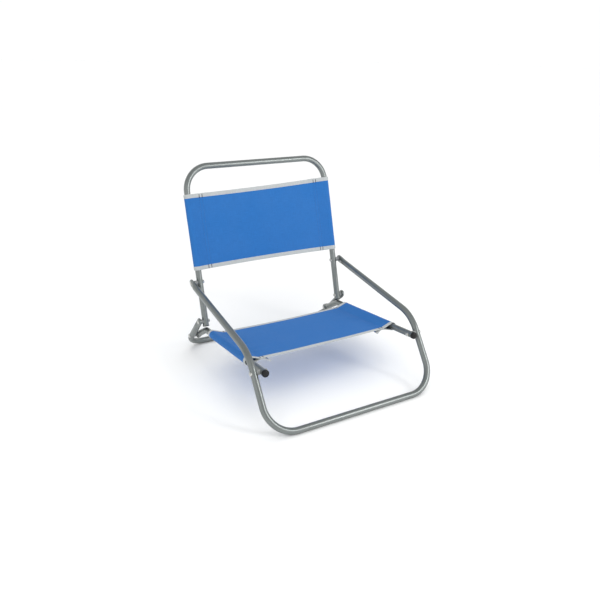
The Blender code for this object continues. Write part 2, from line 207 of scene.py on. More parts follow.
FLOOR_TINTS = ((0.94, 0.94, 0.94, 1), (0.96, 0.96, 0.96, 1))
HORIZON = (1.02, 1.02, 1.02, 1)
OVERHEAD = (0.66, 0.67, 0.67, 1)

# Finishes: scales are in features to the metre, and pitches and heights in metres
HAMMER_SCALE = 520.0
PAINT_GRAIN_SCALE = 1900.0
PAINT_MOTTLING_SCALE = 42.0
SCUFF_SCALE = 160.0
SCUFF_HEIGHT = 0.012
BLUE_PITCH = 0.00075
TAPE_PITCH = 0.0009
THREADS_ALONG = 40.0
THREADS_ACROSS = 900.0
DYE_SCALE = 11.0
CREASE_SCALE = 120.0
FIBRE_SCALE = 2600.0
PLASTIC_CLOUD_SCALE = 130.0
PLUG_GRAIN_SCALE = 3000.0
NYLON_GRAIN_SCALE = 2200.0
ZINC_CLOUD_SCALE = 260.0
ZINC_GRAIN_SCALE = 2400.0

# Camera
CAMERA_TARGET = Vector((-0.0758, -0.1104, 0.2813))
CAMERA_AZIMUTH = math.radians(-30.34)
CAMERA_ELEVATION = math.radians(22.18)
CAMERA_ROLL = math.radians(1.16)
CAMERA_DISTANCE = 1.719
CAMERA_LENS = 37.08
CAMERA_SENSOR = 36

# Studio
FLOOR_SIZE = 80.0
FLOOR_STEPS = 16
FLOOR_CLOUD_SCALE = 3.0
LIGHT_TARGET = Vector((0, 0, 0.3))
SKY_SPREAD = 60
HORIZON_ENDS = 0.16
OVERHEAD_STARTS = 0.42

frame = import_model()


# ---------------------------------------------------------------- places


def heading(angle):
    """Side-view unit vector, angle up from straight back."""
    return Vector((math.cos(angle), math.sin(angle)))


def at(x, side_point):
    """World point of a side-view point in the plane x."""
    return Vector((x, side_point.x, side_point.y))


def along(side_direction):
    """World direction of a side-view direction."""
    return Vector((0, side_direction.x, side_direction.y))


def crossing(point, direction, other_point, other_direction):
    """Side-view point where two lines meet."""
    offset = other_point - point
    scale = offset.cross(other_direction) / direction.cross(other_direction)
    return point + direction * scale


def joint_point(name):
    """Side-view point of a joint's axis."""
    place = next(joint["pos_m"] for joint in frame["joints"] if joint["name"] == name)
    return Vector(place[1:])


def box_middle(node):
    """Side-view middle of a CAD node."""
    low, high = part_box(node)
    return Vector(((low.y + high.y) / 2, (low.z + high.z) / 2))


def tube_plane(node):
    """Distance from the middle of the chair to the axis of a frame's side tube."""
    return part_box(node)[1].x - TUBE_APOTHEM


FRONT_X = tube_plane("leg_arm_frame")
BACK_X = tube_plane("back_frame")
REAR_X = tube_plane("rear_leg_frame")
ARM_PIVOT = joint_point("back_fold")
HINGE_PIVOT = joint_point("rear_leg_fold")
TAIL_PIVOT = joint_point("seat_fold")
SEAT_PIVOT = box_middle("bolt_seat_left")
FRONT_BAR = Vector((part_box("leg_arm_frame")[0].y + TUBE_APOTHEM, TUBE_APOTHEM))
LEG_DIRECTION = (SEAT_PIVOT - FRONT_BAR).normalized()
ARM_DIRECTION = heading(ARM_ANGLE)
ARM_BEND = crossing(FRONT_BAR, LEG_DIRECTION, ARM_PIVOT, ARM_DIRECTION)
BACK_DIRECTION = (ARM_PIVOT - HINGE_PIVOT).normalized()
BACK_END = HINGE_PIVOT - BACK_DIRECTION * OPEN_END_PAST_PIVOT
BACK_TOP = BACK_END + BACK_DIRECTION * ((OVERALL_HEIGHT - TUBE_RADIUS - BACK_END.y) / BACK_DIRECTION.y)
REAR_LEG_DIRECTION = (TAIL_PIVOT - HINGE_PIVOT).normalized()
REAR_BAR = HINGE_PIVOT + REAR_LEG_DIRECTION * ((TUBE_APOTHEM - HINGE_PIVOT.y) / REAR_LEG_DIRECTION.y)
RAIL_DIRECTION = heading(RAIL_ANGLE)
TAIL_DIRECTION = heading(TAIL_ANGLE)
RAIL_FRONT = SEAT_PIVOT - RAIL_DIRECTION * OPEN_END_PAST_PIVOT
RAIL_BEND = crossing(SEAT_PIVOT, RAIL_DIRECTION, TAIL_PIVOT, TAIL_DIRECTION)


# ---------------------------------------------------------------- materials


def add_node(tree, kind, inputs=None, **settings):
    """Shader node with its settings, and its inputs set to a value or linked to a socket."""
    made = tree.nodes.new("ShaderNode" + kind)
    for key, value in settings.items():
        setattr(made, key, value)
    for key, value in (inputs or {}).items():
        if isinstance(value, bpy.types.NodeSocket):
            tree.links.new(value, made.inputs[key])
        else:
            made.inputs[key].default_value = value
    return made


def blend_colours(tree, factor, first, second):
    """Colour between two colours, by a factor."""
    mixed = add_node(tree, "Mix", {0: factor, 6: first, 7: second}, data_type="RGBA")
    return mixed.outputs[2]


def remap(tree, value, low, high, to_low, to_high):
    """Value taken from one range to another, and held inside it."""
    inputs = {"Value": value, "From Min": low, "From Max": high, "To Min": to_low, "To Max": to_high}
    return add_node(tree, "MapRange", inputs).outputs["Result"]


def vary(tree, noise_value, low, high):
    """Value between low and high, over the range that a noise texture mostly fills."""
    return remap(tree, noise_value, 0.3, 0.7, low, high)


def calculate(tree, operation, first, second=0.0, third=0.5):
    inputs = {0: first, 1: second, 2: third}
    return add_node(tree, "Math", inputs, operation=operation).outputs[0]


def add_noise(tree, where, scale, detail=3.0, roughness=0.5):
    inputs = {"Vector": where, "Scale": scale, "Detail": detail, "Roughness": roughness}
    return add_node(tree, "TexNoise", inputs).outputs["Fac"]


def add_bump(tree, height, strength, distance, normal=None):
    inputs = {"Height": height, "Strength": strength, "Distance": distance}
    if normal:
        inputs["Normal"] = normal
    return add_node(tree, "Bump", inputs).outputs["Normal"]


def start_material(name):
    """Empty node material: its tree, its principled shader and its coordinates, in metres on the piece."""
    material = bpy.data.materials.new(name)
    material.use_nodes = True
    tree = material.node_tree
    shader = tree.nodes["Principled BSDF"]
    where = add_node(tree, "TexCoord").outputs["Object"]
    return material, tree, shader, where


def set_shader(tree, shader, **values):
    """Sets or links the shader's sockets, named with underscores for spaces."""
    for key, value in values.items():
        socket = shader.inputs[key.replace("_", " ")]
        if isinstance(value, bpy.types.NodeSocket):
            tree.links.new(value, socket)
        else:
            socket.default_value = value


def make_hammered_paint():
    """Silver-grey coat with the fine dimples of a hammered finish, their ridges lightened by a painted
    highlight, and scuffed where it meets the ground.
    """
    material, tree, shader, where = start_material("hammered_silver_paint")
    inputs = {"Vector": where, "Scale": HAMMER_SCALE, "Smoothness": 0.6}
    cells = add_node(tree, "TexVoronoi", inputs, feature="SMOOTH_F1").outputs["Distance"]
    grain = add_noise(tree, where, PAINT_GRAIN_SCALE, detail=2.0)
    mottling = add_noise(tree, where, PAINT_MOTTLING_SCALE, detail=4.0)
    tint = blend_colours(tree, vary(tree, mottling, 0.0, 1.0), PAINT_DARK, PAINT_LIGHT)
    # Painted highlight: the ridges between the dimples are tinted lighter, as if catching the light
    tint = blend_colours(tree, remap(tree, cells, 0.0, 0.75, 0.0, 0.5), tint, PAINT_RIDGE_HIGHLIGHT)
    height = add_node(tree, "SeparateXYZ", {0: where}).outputs["Z"]
    ground = remap(tree, height, 0.0, SCUFF_HEIGHT, 1.0, 0.0)
    patches = add_noise(tree, where, SCUFF_SCALE, detail=6.0, roughness=0.7)
    scuffs = remap(tree, patches, 0.54, 0.62, 0.0, 1.0)
    worn = calculate(tree, "MULTIPLY", ground, scuffs)
    tint = blend_colours(tree, calculate(tree, "MULTIPLY", worn, 0.6), tint, PAINT_SCUFFS)
    rough = vary(tree, mottling, 0.29, 0.38)
    rough = calculate(tree, "ADD", rough, calculate(tree, "MULTIPLY", worn, 0.25))
    normal = add_bump(tree, cells, strength=0.16, distance=0.0005)
    normal = add_bump(tree, grain, strength=0.06, distance=0.0002, normal=normal)
    set_shader(tree, shader, Base_Color=tint, Metallic=0.85, Roughness=rough, Normal=normal)
    set_shader(tree, shader, Coat_Weight=0.12, Coat_Roughness=0.22)
    return material


def weave_pattern(tree, flat, pitch):
    """Plain weave over flat coordinates in metres: which thread is on top, and how near its crown is."""
    parts = add_node(tree, "SeparateXYZ", {0: flat})
    waves = []
    for axis in ("X", "Y"):
        phase = calculate(tree, "MULTIPLY", parts.outputs[axis], math.pi / pitch)
        waves.append(calculate(tree, "SINE", phase))
    over = calculate(tree, "MULTIPLY", waves[0], waves[1])
    crowns = [calculate(tree, "ABSOLUTE", wave) for wave in waves]
    crown = calculate(tree, "MINIMUM", crowns[0], crowns[1])
    crown = calculate(tree, "POWER", crown, 0.5)
    return calculate(tree, "MULTIPLY_ADD", over, 0.5, 0.5), crown


def add_streaks(tree, flat, scale_x, scale_y):
    """Noise drawn out along one direction of the flat cloth."""
    drawn_out = add_node(tree, "Mapping", {"Vector": flat, "Scale": (scale_x, scale_y, 1.0)})
    return add_noise(tree, drawn_out.outputs["Vector"], scale=1.0, detail=2.0)


def make_cloth(name, colours, pitch, roughness, sheen, weave_depth, dust):
    """Woven synthetic cloth: threads, uneven dye, painted shade in the dips between the threads, and a
    little dust on the threads.
    """
    material, tree, shader, where = start_material(name)
    dark, light = colours
    flat = add_node(tree, "Attribute", attribute_name="flat").outputs["Vector"]
    over, crown = weave_pattern(tree, flat, pitch)
    warp = add_streaks(tree, flat, THREADS_ALONG, THREADS_ACROSS)
    weft = add_streaks(tree, flat, THREADS_ACROSS, THREADS_ALONG)
    threads = calculate(tree, "MULTIPLY", calculate(tree, "ADD", warp, weft), 0.5)
    broad = add_noise(tree, where, DYE_SCALE)
    tint = blend_colours(tree, remap(tree, threads, 0.36, 0.64, 0.0, 1.0), dark, light)
    # Painted shade: darker colour where the weave dips between the thread crowns
    shade = tuple(channel * 0.8 for channel in dark[:3]) + (1,)
    tint = blend_colours(tree, remap(tree, crown, 0.0, 0.45, 0.35, 0.0), tint, shade)
    tint = blend_colours(tree, remap(tree, broad, 0.35, 0.75, 0.0, dust), tint, CLOTH_DUST)
    rough = vary(tree, threads, roughness - 0.06, roughness + 0.06)
    height = calculate(tree, "MULTIPLY", calculate(tree, "ADD", over, 1.0), crown)
    normal = add_bump(tree, height, strength=0.35, distance=weave_depth)
    creases = add_noise(tree, flat, CREASE_SCALE)
    normal = add_bump(tree, creases, strength=0.10, distance=0.0006, normal=normal)
    set_shader(tree, shader, Base_Color=tint, Roughness=rough, Normal=normal)
    set_shader(tree, shader, Sheen_Weight=sheen, Sheen_Roughness=0.45, Specular_IOR_Level=0.3)
    return material


def make_thread(name, colours):
    """Twisted sewing thread."""
    material, tree, shader, where = start_material(name)
    fibres = add_noise(tree, where, FIBRE_SCALE, detail=2.0)
    tint = blend_colours(tree, remap(tree, fibres, 0.35, 0.65, 0.0, 1.0), *colours)
    rough = vary(tree, fibres, 0.5, 0.7)
    normal = add_bump(tree, fibres, strength=0.3, distance=0.0001)
    set_shader(tree, shader, Base_Color=tint, Roughness=rough, Normal=normal)
    set_shader(tree, shader, Sheen_Weight=0.1)
    return material


def make_plastic(name, colours, grain_scale):
    """Moulded plastic with a fine spark-eroded grain."""
    material, tree, shader, where = start_material(name)
    grain = add_noise(tree, where, grain_scale)
    clouds = add_noise(tree, where, PLASTIC_CLOUD_SCALE)
    tint = blend_colours(tree, vary(tree, clouds, 0.0, 1.0), *colours)
    rough = vary(tree, grain, 0.43, 0.57)
    normal = add_bump(tree, grain, strength=0.25, distance=0.00015)
    set_shader(tree, shader, Base_Color=tint, Roughness=rough, Normal=normal, Specular_IOR_Level=0.3)
    return material


def make_zinc():
    """Bright zinc plate with cloudy passivation."""
    material, tree, shader, where = start_material("zinc_plate")
    clouds = add_noise(tree, where, ZINC_CLOUD_SCALE, detail=4.0)
    grain = add_noise(tree, where, ZINC_GRAIN_SCALE, detail=2.0)
    tint = blend_colours(tree, remap(tree, clouds, 0.35, 0.65, 0.0, 1.0), *ZINC)
    rough = vary(tree, clouds, 0.22, 0.36)
    normal = add_bump(tree, grain, strength=0.08, distance=0.0001)
    set_shader(tree, shader, Base_Color=tint, Metallic=1.0, Roughness=rough, Normal=normal)
    return material


MATERIALS = {
    "painted_steel_tube": make_hammered_paint(),
    "sling_fabric": make_cloth(
        "blue_sling_cloth",
        BLUE_CLOTH,
        BLUE_PITCH,
        roughness=0.78,
        sheen=0.03,
        weave_depth=0.00035,
        dust=0.012,
    ),
    "binding_tape": make_cloth(
        "grey_binding_cloth",
        GREY_TAPE,
        TAPE_PITCH,
        roughness=0.8,
        sheen=0.1,
        weave_depth=0.0003,
        dust=0.05,
    ),
    "black_plastic": make_plastic("black_plug_plastic", BLACK_PLASTIC, PLUG_GRAIN_SCALE),
    "zinc_hardware": make_zinc(),
    "nylon_spacer": make_plastic("grey_nylon", GREY_NYLON, NYLON_GRAIN_SCALE),
}
SEAM_THREAD = make_thread("blue_thread", BLUE_THREAD)
TACK_THREAD = make_thread("navy_thread", NAVY_THREAD)
HEM_THREAD = make_thread("grey_thread", GREY_THREAD)


# ---------------------------------------------------------------- pieces


def new_piece(name, vertices, faces, material):
    """Object from mesh data, with its faces as they are given."""
    mesh = bpy.data.meshes.new(name)
    mesh.from_pydata(vertices, [], faces)
    mesh.materials.append(material)
    piece = bpy.data.objects.new(name, mesh)
    bpy.context.scene.collection.objects.link(piece)
    return piece


def new_solid(name, vertices, faces, material):
    """Object from mesh data, with its faces turned outwards."""
    piece = new_piece(name, vertices, faces, material)
    shape = bmesh.new()
    shape.from_mesh(piece.data)
    bmesh.ops.recalc_face_normals(shape, faces=shape.faces)
    shape.to_mesh(piece.data)
    shape.free()
    return piece


def ring_faces(rings, sides):
    """Faces of a closed tube of vertex rings, with both its ends."""
    faces = []
    for ring in range(rings - 1):
        base = ring * sides
        for side in range(sides):
            following = (side + 1) % sides
            faces.append((base + side, base + following, base + sides + following, base + sides + side))
    last = (rings - 1) * sides
    return faces + [tuple(range(sides)), tuple(range(last, last + sides))]


def grid_faces(rows, columns):
    """Faces of a sheet whose vertices are in rows, with one more vertex than faces either way."""
    faces = []
    for row in range(rows):
        for column in range(columns):
            corner = row * (columns + 1) + column
            faces.append((corner, corner + 1, corner + columns + 2, corner + columns + 1))
    return faces


def smooth(piece, sharp_angle):
    """Smooth shading, apart from edges sharper than an angle in degrees."""
    piece.data.shade_smooth()
    piece.data.set_sharp_from_angle(angle=math.radians(sharp_angle))


def stand_for(piece, node):
    """The piece takes a CAD node's place, on its body."""
    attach(piece, frame["nodes"][node]["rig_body"])
    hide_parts(node)


def rounded_path(corners, radii):
    """Polyline through corners, with each inner corner replaced by an arc of its own radius."""
    points = [corners[0]]
    for before, corner, after, radius in zip(corners, corners[1:], corners[2:], radii):
        inward = (before - corner).normalized()
        outward = (after - corner).normalized()
        half_angle = inward.angle(outward) / 2
        start = corner + inward * radius / math.tan(half_angle)
        centre = corner + (inward + outward).normalized() * radius / math.sin(half_angle)
        axis = inward.cross(outward)
        turn = -(math.pi - 2 * half_angle)
        for step in range(BEND_STEPS + 1):
            spin = Matrix.Rotation(turn * step / BEND_STEPS, 3, axis)
            points.append(centre + spin @ (start - centre))
    points.append(corners[-1])
    return points


def pressed_section(station):
    """Half thickness, half width and squareness of a tube at a distance from its pressed tip."""
    blend = min(1, max(0, (PRESSED_LENGTH + PRESS_BLEND - station) / PRESS_BLEND))
    blend = blend * blend * (3 - 2 * blend)
    thickness = TUBE_RADIUS + (PRESSED_HALF_THICKNESS - TUBE_RADIUS) * blend
    width = TUBE_RADIUS + (PRESSED_HALF_WIDTH - TUBE_RADIUS) * blend
    if station < PRESSED_HALF_WIDTH:
        tip = math.sqrt(max(0, 1 - (1 - station / PRESSED_HALF_WIDTH) ** 2))
        width *= tip
        thickness *= TIP_EDGE_SHARE + (1 - TIP_EDGE_SHARE) * min(1, tip * TIP_EDGE_RISE)
    return thickness, width, TUBE_SQUARENESS + (PRESSED_SQUARENESS - TUBE_SQUARENESS) * blend


def pressed_stations():
    """Distances from a pressed tip, close together where its outline is round."""
    stations = []
    for angle in range(TIP_STEP_DEGREES, 91, TIP_STEP_DEGREES):
        stations.append(PRESSED_HALF_WIDTH * (1 - math.cos(math.radians(angle))))
    flat_length = PRESSED_LENGTH - PRESSED_HALF_WIDTH
    for step in range(1, FLAT_STEPS + 1):
        stations.append(PRESSED_HALF_WIDTH + flat_length * step / FLAT_STEPS)
    for step in range(1, PRESS_BLEND_STEPS + 1):
        stations.append(PRESSED_LENGTH + PRESS_BLEND * step / PRESS_BLEND_STEPS)
    return stations


def rounded_power(value, squareness):
    """Cosine or sine, bent so that a circle turns into a rounded square. At 2 it stays a circle."""
    return math.copysign(abs(value) ** (2 / squareness), value)


def sweep(name, path, sections):
    """Closed tube along a path. Its first axis across starts along X and turns with the path."""
    vertices = []
    across = Vector((1, 0, 0))
    for index, point in enumerate(path):
        before = path[max(index - 1, 0)]
        after = path[min(index + 1, len(path) - 1)]
        tangent = (after - before).normalized()
        across = (across - tangent * across.dot(tangent)).normalized()
        sideways = tangent.cross(across)
        thickness, width, squareness = sections[index]
        for side in range(TUBE_SIDES):
            angle = 2 * math.pi * side / TUBE_SIDES
            first = thickness * rounded_power(math.cos(angle), squareness)
            second = width * rounded_power(math.sin(angle), squareness)
            vertices.append(point + across * first + sideways * second)
    faces = ring_faces(len(path), TUBE_SIDES)
    piece = new_solid(name, vertices, faces, MATERIALS["painted_steel_tube"])
    smooth(piece, sharp_angle=40)
    return piece


def make_tube(node, corners, radii, pressed_start, pressed_end):
    """Tube along rounded corners that stands for a CAD tube, with pressed or plain ends."""
    path = rounded_path(corners, radii)
    sections = [(TUBE_RADIUS, TUBE_RADIUS, TUBE_SQUARENESS)] * len(path)
    stations = pressed_stations()
    if pressed_start:
        inward = (corners[1] - corners[0]).normalized()
        path[:1] = [corners[0] + inward * station for station in stations]
        sections[:1] = [pressed_section(station) for station in stations]
    if pressed_end:
        inward = (corners[-2] - corners[-1]).normalized()
        path[-1:] = [corners[-1] + inward * station for station in reversed(stations)]
        sections[-1:] = [pressed_section(station) for station in reversed(stations)]
    stand_for(sweep(node + "_smooth", path, sections), node)


def both_sides(x, side_points):
    """Corners of a frame that runs down its left side and up its right side."""
    left = [at(-x, point) for point in side_points]
    return left + [at(x, point) for point in reversed(side_points)]


def make_tubes():
    """The three tube frames and the two seat rails."""
    arm_tip = ARM_PIVOT + ARM_DIRECTION * TIP_PAST_PIVOT
    front_radii = (ARM_BEND_RADIUS, GROUND_CORNER_RADIUS, GROUND_CORNER_RADIUS, ARM_BEND_RADIUS)
    make_tube("leg_arm_frame", both_sides(FRONT_X, [arm_tip, ARM_BEND, FRONT_BAR]), front_radii, True, True)
    back_corners = both_sides(BACK_X, [BACK_END, BACK_TOP])
    make_tube("back_frame", back_corners, (BACK_CORNER_RADIUS,) * 2, False, False)
    leg_tip = HINGE_PIVOT - REAR_LEG_DIRECTION * TIP_PAST_PIVOT
    rear_corners = both_sides(REAR_X, [leg_tip, REAR_BAR])
    make_tube("rear_leg_frame", rear_corners, (REAR_CORNER_RADIUS,) * 2, True, True)
    tail_tip = TAIL_PIVOT + TAIL_DIRECTION * TIP_PAST_PIVOT
    for side_name, side in (("left", -1), ("right", 1)):
        rail_corners = [at(side * BACK_X, point) for point in (RAIL_FRONT, RAIL_BEND, tail_tip)]
        make_tube("seat_rail_" + side_name, rail_corners, (RAIL_BEND_RADIUS,), False, True)


def revolve(name, profile, place, outward, material, half_flats=None):
    """Turned piece from (radius, height) points. With half_flats its rings are cut back to a hexagon."""
    vertices = []
    turn = outward.to_track_quat("Z", "Y")
    for radius, height in profile:
        for side in range(TURNED_SIDES):
            angle = 2 * math.pi * side / TURNED_SIDES
            reach = radius
            if half_flats:
                from_flat = (angle + math.pi / 6) % (math.pi / 3) - math.pi / 6
                reach = min(radius, half_flats / math.cos(from_flat))
            local = Vector((reach * math.cos(angle), reach * math.sin(angle), height))
            vertices.append(place + turn @ local)
    piece = new_solid(name, vertices, ring_faces(len(profile), TURNED_SIDES), material)
    smooth(piece, sharp_angle=32)
    return piece


def dome(radius, low, high, steps=7, rim=0.12):
    """Profile of a domed cap from its rim up to its middle, with a softened rim."""
    points = [(radius, low), (radius, low + (high - low) * rim)]
    for step in range(1, steps + 1):
        angle = math.pi / 2 * step / steps
        height = low + (high - low) * (rim + (1 - rim) * math.sin(angle))
        points.append((max(radius * math.cos(angle), 0.0001), height))
    return points


def make_bolt(node, side, side_point, outer_face, inner_face, on_round_tube):
    """Domed bolt. On a round tube its head has a collar that reaches down to the tube."""
    depth = SADDLE_DEPTH if on_round_tube else FIT_GAP
    shank = outer_face - inner_face + NUT_HEIGHT - SHANK_END_IN_NUT
    profile = [(SHANK_RADIUS, -shank), (SHANK_RADIUS, -depth)]
    profile += [(HEAD_RADIUS, -depth), (HEAD_RADIUS, HEAD_EDGE)]
    profile += dome(HEAD_RADIUS * 0.97, HEAD_EDGE + HEAD_STEP, HEAD_HEIGHT)
    place = at(side * (outer_face + FIT_GAP), side_point)
    piece = revolve(node + "_turned", profile, place, Vector((side, 0, 0)), MATERIALS["zinc_hardware"])
    stand_for(piece, node)


def make_nut(node, side, side_point, inner_face, on_round_tube):
    """Hexagonal cap nut on a washer."""
    depth = SADDLE_DEPTH if on_round_tube else FIT_GAP
    place = at(side * (inner_face - FIT_GAP), side_point)
    inward = Vector((-side, 0, 0))
    profile = [
        (WASHER_RADIUS, -depth),
        (WASHER_RADIUS, WASHER_THICKNESS - WASHER_CHAMFER),
        (WASHER_RADIUS - WASHER_CHAMFER, WASHER_THICKNESS),
        (NUT_HALF_FLATS * NUT_CAP_SHARE, WASHER_THICKNESS),
        (NUT_HALF_FLATS, WASHER_THICKNESS),
        (NUT_CORNER_RADIUS, WASHER_THICKNESS + NUT_CHAMFER),
        (NUT_CORNER_RADIUS, NUT_CORNERS_TOP),
        (NUT_HALF_FLATS * 0.99, NUT_CAP_START),
    ]
    profile += dome(NUT_HALF_FLATS * NUT_CAP_SHARE, NUT_CAP_START, NUT_HEIGHT)
    piece = revolve(node + "_turned", profile, place, inward, MATERIALS["zinc_hardware"], NUT_HALF_FLATS)
    stand_for(piece, node)


def make_spacer(node, side, side_point, low_x, high_x, round_inside, round_outside):
    """Nylon ring between two tubes, saddled onto the round ones."""
    low = low_x - (SADDLE_DEPTH if round_inside else 0)
    high = high_x + (SADDLE_DEPTH if round_outside else 0)
    edge = SPACER_CHAMFER
    profile = [(SHANK_RADIUS, low), (SPACER_RADIUS - edge, low), (SPACER_RADIUS, low + edge)]
    profile += [(SPACER_RADIUS, high - edge), (SPACER_RADIUS - edge, high), (SHANK_RADIUS, high)]
    profile = [(radius, height - low_x) for radius, height in profile]
    place = at(side * low_x, side_point)
    piece = revolve(node + "_turned", profile, place, Vector((side, 0, 0)), MATERIALS["nylon_spacer"])
    stand_for(piece, node)


def make_plug(node, place, outward, cap_length, rim):
    """Rounded plastic plug in an open tube end."""
    radius = TUBE_RADIUS + PLUG_PROUD
    spigot_radius = TUBE_RADIUS * 0.8
    profile = [(spigot_radius, -PLUG_SPIGOT), (spigot_radius, PLUG_LEDGE), (radius * 0.985, PLUG_LEDGE)]
    profile += dome(radius, PLUG_LEDGE * 3, cap_length, steps=10, rim=rim)
    piece = revolve(node + "_turned", profile, place, outward, MATERIALS["black_plastic"])
    stand_for(piece, node)


def make_hardware():
    """Fasteners of the eight pivots, each with its outer and inner tube, and the four end plugs."""
    pressed = PRESSED_HALF_THICKNESS
    rows = (
        ("arm", ARM_PIVOT, FRONT_X, pressed, BACK_X, TUBE_RADIUS),
        ("hinge", HINGE_PIVOT, REAR_X, pressed, BACK_X, TUBE_RADIUS),
        ("seat", SEAT_PIVOT, FRONT_X, TUBE_RADIUS, BACK_X, TUBE_RADIUS),
        ("tail", TAIL_PIVOT, REAR_X, TUBE_RADIUS, BACK_X, pressed),
    )
    plugs = (
        ("plug_rail_", RAIL_FRONT, RAIL_DIRECTION, RAIL_PLUG_CAP, RAIL_PLUG_RIM_SHARE),
        ("plug_back_", BACK_END, BACK_DIRECTION, BACK_PLUG_CAP, BACK_PLUG_RIM_SHARE),
    )
    for side_name, side in (("left", -1), ("right", 1)):
        for name, point, outer_axis, outer_half, inner_axis, inner_half in rows:
            suffix = name + "_" + side_name
            outer_round = outer_half == TUBE_RADIUS
            inner_round = inner_half == TUBE_RADIUS
            outer_face = outer_axis + outer_half
            inner_face = inner_axis - inner_half
            make_bolt("bolt_" + suffix, side, point, outer_face, inner_face, outer_round)
            make_nut("nut_" + suffix, side, point, inner_face, inner_round)
            gap = (inner_axis + inner_half, outer_axis - outer_half)
            make_spacer("spacer_" + suffix, side, point, *gap, inner_round, outer_round)
        for name, end, inward, cap_length, rim in plugs:
            make_plug(name + side_name, at(side * BACK_X, end), along(-inward), cap_length, rim)


# ---------------------------------------------------------------- slings


def half_section():
    """Sling's right half from its middle: level sheet, up over the tube, back under it, and a flap."""
    run = BACK_X - SEAM_X
    upper = math.pi - math.acos(SLEEVE_RADIUS / run)
    slant = math.hypot(run, FLAP_DROP)
    lower = math.pi + math.acos(SLEEVE_RADIUS / slant) - math.atan2(FLAP_DROP, run) - 2 * math.pi
    rim = []
    for step in range(SLEEVE_STEPS + 1):
        angle = upper + (lower - upper) * step / SLEEVE_STEPS
        rim.append(Vector((BACK_X + SLEEVE_RADIUS * math.cos(angle), SLEEVE_RADIUS * math.sin(angle))))
    seam = Vector((SEAM_X, 0))
    under_seam = Vector((SEAM_X, -FLAP_DROP))
    flap_end = under_seam + Vector((-FLAP, 0))
    points = [seam * (step / SHEET_STEPS) for step in range(SHEET_STEPS + 1)]
    points += [seam.lerp(rim[0], step / STRAIGHT_STEPS) for step in range(1, STRAIGHT_STEPS)]
    points += rim
    points += [rim[-1].lerp(under_seam, step / STRAIGHT_STEPS) for step in range(1, STRAIGHT_STEPS + 1)]
    points += [under_seam.lerp(flap_end, step / STRAIGHT_STEPS) for step in range(1, STRAIGHT_STEPS + 1)]
    return points


HALF_SECTION = half_section()
ARCS = [0.0]
for first, second in zip(HALF_SECTION, HALF_SECTION[1:]):
    ARCS.append(ARCS[-1] + (second - first).length)
HALF_WIDTH = ARCS[-1]
FLAP_ARC = HALF_WIDTH - FLAP
STATIONS = [-arc for arc in reversed(ARCS[1:])] + ARCS


def section_point(arc):
    """Point (x, height) on the sling's section at a distance from its middle along the cloth."""
    reach = min(abs(arc), HALF_WIDTH)
    index = next(i for i in range(1, len(ARCS)) if ARCS[i] >= reach - 1e-9)
    part = (reach - ARCS[index - 1]) / (ARCS[index] - ARCS[index - 1])
    point = HALF_SECTION[index - 1].lerp(HALF_SECTION[index], part)
    return Vector((math.copysign(point.x, arc), point.y))


class Sling:
    """A cloth sling on two parallel tubes. Its points are (distance across, distance along) the flat cloth.

    sag is how far its middle hangs, and droop and skew how far its flaps hang and slant. slip is how far
    the far hem has moved along the tubes: at its middle, and how much more at its right end.
    """

    def __init__(self, name, body, ends, origin, direction, length, sag, droop, skew, slip, seed):
        self.name = name
        self.body = body
        self.ends = ends
        self.origin = origin
        self.direction = direction
        self.normal = Vector((-direction.y, direction.x))
        self.length = length
        self.sag = sag
        self.droop = droop
        self.skew = skew
        self.slip = slip
        self.seed = seed

    def uneven(self, across, down, layer):
        """Smooth unevenness between -1 and 1, the same each run, at a place measured in its waves."""
        return noise.noise(Vector((across, down, self.seed + layer * 7.3)))

    def point(self, arc, v):
        """World point of the cloth's middle surface."""
        x, height = section_point(arc)
        reach = abs(arc)
        side = math.copysign(1, arc)
        from_hem = min(v, self.length - v)
        v += (self.slip[0] + self.slip[1] * x / BACK_X) * v / self.length
        near_hem = math.exp(-max(from_hem, 0) / HEM_REACH)
        if reach <= SEAM_X:
            middle = 1 - (reach / SEAM_X) ** 2
            height -= self.sag * middle
            v += HEM_CURVE * middle * (1 - 2 * v / self.length)
            inboard = SEAM_X - reach
            pucker = math.exp(-inboard / PUCKER_REACH) * (1 - math.exp(-inboard / PUCKER_START))
            height += PUCKER * pucker * self.uneven(inboard * 12 + side * 5, v * 60, 1)
            height += SHEET_WAVE * middle * self.uneven(x * 9, v * 11, 2)
        elif reach < FLAP_ARC:
            inside = math.sin(math.pi * (reach - SEAM_X) / (FLAP_ARC - SEAM_X))
            away = Vector((abs(x) - BACK_X, height)).normalized()
            slack = SLEEVE_SLACK * inside * (0.5 + 0.5 * self.uneven(side * 9, v * 22, 3))
            x += side * away.x * slack
            height += away.y * slack
        else:
            free = max(0, (reach - FLAP_ARC - SEAM_ROWS_APART) / (FLAP - SEAM_ROWS_APART))
            wavy = 0.8 + 0.5 * self.uneven(side * 4, v * 18, 4)
            height -= self.droop * free**FLAP_CURL_POWER * (0.55 + 0.45 * near_hem) * wavy
            x += side * FLAP_WAVER * free * self.uneven(side * 6, v * 25, 5)
            v -= self.skew * free
        return at(x, self.origin + self.direction * v) + along(self.normal) * height

    def axes(self, arc, v):
        """Point, direction across, direction along and outward normal of the cloth."""
        across = self.point(arc + AXES_STEP, v) - self.point(arc - AXES_STEP, v)
        down = self.point(arc, v + AXES_STEP) - self.point(arc, v - AXES_STEP)
        outward = across.cross(down)
        return self.point(arc, v), across.normalized(), down.normalized(), outward.normalized()


def store_flat(piece, flats):
    """Keeps each vertex's place on the flat cloth, in metres, for the weave."""
    attribute = piece.data.attributes.new("flat", "FLOAT_VECTOR", "POINT")
    for item, (across, down) in zip(attribute.data, flats):
        item.vector = (across, down, 0)


